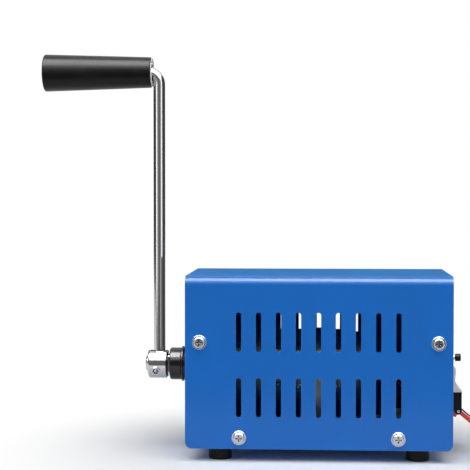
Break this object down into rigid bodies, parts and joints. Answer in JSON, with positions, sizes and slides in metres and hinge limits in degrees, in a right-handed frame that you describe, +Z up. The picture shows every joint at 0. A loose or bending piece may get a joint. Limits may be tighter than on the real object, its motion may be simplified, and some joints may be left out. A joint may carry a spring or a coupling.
{
  "type": "hand crank generator",
  "caption": "Bench generator in a blue vented sheet-metal housing: a side crank with a turning grip drives it through planetary gears, with a push button and spring wire terminals.",
  "frame": {"origin": "middle of the whole object's outline, on the plane that the feet stand on", "axes": "+X along the housing from the crank to the output panel, +Y from the front to the back, +Z up"},
  "size_m": [0.3116, 0.1166, 0.2879],
  "materials": {
    "blue_paint": "satin powder coat",
    "nickel": "bright nickel plate",
    "chrome": "polished chrome plate",
    "black_metal": "black oxide",
    "black_plastic": "satin moulding",
    "black_rubber": "matte",
    "grey_plastic": "satin moulding",
    "red_plastic": "gloss moulding",
    "dark_window": "smoked window",
    "zinc_steel": "zinc plate",
    "gear_steel": "oiled steel",
    "cast_alloy": "die-cast",
    "magnet": "sintered",
    "copper": "enamelled copper",
    "bronze": "sintered bronze",
    "board_green": "solder mask"
  },
  "bodies": {
    "housing": {"cover": "blue_paint", "chassis": "blue_paint", "cover_washers": "nickel", "cover_screws": "nickel", "rubber_feet": "black_rubber", "foot_screws": "zinc_steel", "nuts": "zinc_steel", "gearbox_front": "black_metal", "flanged_bush": "black_metal", "case_screws": "zinc_steel", "bearing_outer": "gear_steel", "ring_gear_case": "zinc_steel", "motor_adapter": "cast_alloy", "generator_can": "zinc_steel", "magnets": "magnet", "rear_bell": "cast_alloy", "brushes": "magnet", "saddle": "zinc_steel", "strap": "zinc_steel", "standoffs": "bronze", "regulator_board": "board_green", "board_screws": "zinc_steel", "capacitor": "black_plastic", "rectifier": "black_plastic", "heat_sink": "cast_alloy", "output_fascia": "grey_plastic", "usb_socket": "nickel", "display_window": "dark_window", "terminal_block": "black_plastic", "panel_screws": "nickel", "terminal_contacts": "nickel", "lever_pin": "zinc_steel", "button_bush": "nickel", "lead_red": "red_plastic", "lead_black": "black_plastic"},
    "crank": {"bearing_inner": "gear_steel", "input_shaft": "gear_steel", "socket_coupling": "black_metal", "drive_hub": "chrome", "detent_ball": "nickel", "hub_plug": "chrome", "crank_rod": "chrome", "grip_retainer": "zinc_steel"},
    "handle": {"grip": "black_plastic", "grip_collar": "grey_plastic", "grip_end_cap": "black_plastic"},
    "planet_1a": {"planet_1a": "gear_steel"},
    "planet_1b": {"planet_1b": "gear_steel"},
    "planet_1c": {"planet_1c": "gear_steel"},
    "second_carrier": {"carrier_2": "gear_steel"},
    "planet_2a": {"planet_2a": "gear_steel"},
    "planet_2b": {"planet_2b": "gear_steel"},
    "planet_2c": {"planet_2c": "gear_steel"},
    "rotor": {"rotor_shaft": "gear_steel", "rotor_core": "gear_steel", "windings": "copper", "commutator": "copper"},
    "red_lever": {"lever_red": "red_plastic"},
    "black_lever": {"lever_black": "black_plastic"},
    "button": {"push_button": "black_plastic"}
  },
  "joints": [
    {"name": "crank_spin", "type": "hinge", "parent": "housing", "child": "crank", "pos_m": [-0.06481, 0, 0.0617], "axis": [1, 0, 0], "continuous": true},
    {"name": "grip_spin", "type": "hinge", "parent": "crank", "child": "handle", "pos_m": [-0.11656, 0, 0.2743], "axis": [1, 0, 0], "continuous": true},
    {"name": "carrier_spin", "type": "hinge", "parent": "housing", "child": "second_carrier", "pos_m": [-0.01701, 0, 0.0617], "axis": [1, 0, 0], "continuous": true},
    {"name": "rotor_spin", "type": "hinge", "parent": "housing", "child": "rotor", "pos_m": [0.01749, 0, 0.0617], "axis": [1, 0, 0], "continuous": true},
    {"name": "planet_1a_spin", "type": "hinge", "parent": "crank", "child": "planet_1a", "pos_m": [-0.02801, 0, 0.0752], "axis": [1, 0, 0], "continuous": true},
    {"name": "planet_2a_spin", "type": "hinge", "parent": "second_carrier", "child": "planet_2a", "pos_m": [-0.01251, 0, 0.0752], "axis": [1, 0, 0], "continuous": true},
    {"name": "planet_1b_spin", "type": "hinge", "parent": "crank", "child": "planet_1b", "pos_m": [-0.02801, -0.01169, 0.05495], "axis": [1, 0, 0], "continuous": true},
    {"name": "planet_2b_spin", "type": "hinge", "parent": "second_carrier", "child": "planet_2b", "pos_m": [-0.01251, -0.01169, 0.05495], "axis": [1, 0, 0], "continuous": true},
    {"name": "planet_1c_spin", "type": "hinge", "parent": "crank", "child": "planet_1c", "pos_m": [-0.02801, 0.01169, 0.05495], "axis": [1, 0, 0], "continuous": true},
    {"name": "planet_2c_spin", "type": "hinge", "parent": "second_carrier", "child": "planet_2c", "pos_m": [-0.01251, 0.01169, 0.05495], "axis": [1, 0, 0], "continuous": true},
    {"name": "red_lever_press", "type": "hinge", "parent": "housing", "child": "red_lever", "pos_m": [0.14389, -0.01, 0.0314], "axis": [0, 1, 0], "range_deg": [0, 18], "stiffness_Nm_per_rad": 0.05, "springref_deg": -17.19},
    {"name": "black_lever_press", "type": "hinge", "parent": "housing", "child": "black_lever", "pos_m": [0.14389, 0.01, 0.0314], "axis": [0, 1, 0], "range_deg": [0, 18], "stiffness_Nm_per_rad": 0.05, "springref_deg": -17.19},
    {"name": "button_press", "type": "slide", "parent": "housing", "child": "button", "axis": [-1, 0, 0], "range_m": [0, 0.0015], "stiffness_N_per_m": 300, "springref_m": -0.002}
  ],
  "couplings": [
    {"joint": "carrier_spin", "follows": "crank_spin", "ratio": 4.5},
    {"joint": "rotor_spin", "follows": "crank_spin", "ratio": 20.25},
    {"joint": "planet_1a_spin", "follows": "crank_spin", "ratio": -2.8},
    {"joint": "planet_2a_spin", "follows": "crank_spin", "ratio": -12.6},
    {"joint": "planet_1b_spin", "follows": "crank_spin", "ratio": -2.8},
    {"joint": "planet_2b_spin", "follows": "crank_spin", "ratio": -12.6},
    {"joint": "planet_1c_spin", "follows": "crank_spin", "ratio": -2.8},
    {"joint": "planet_2c_spin", "follows": "crank_spin", "ratio": -12.6}
  ]
}
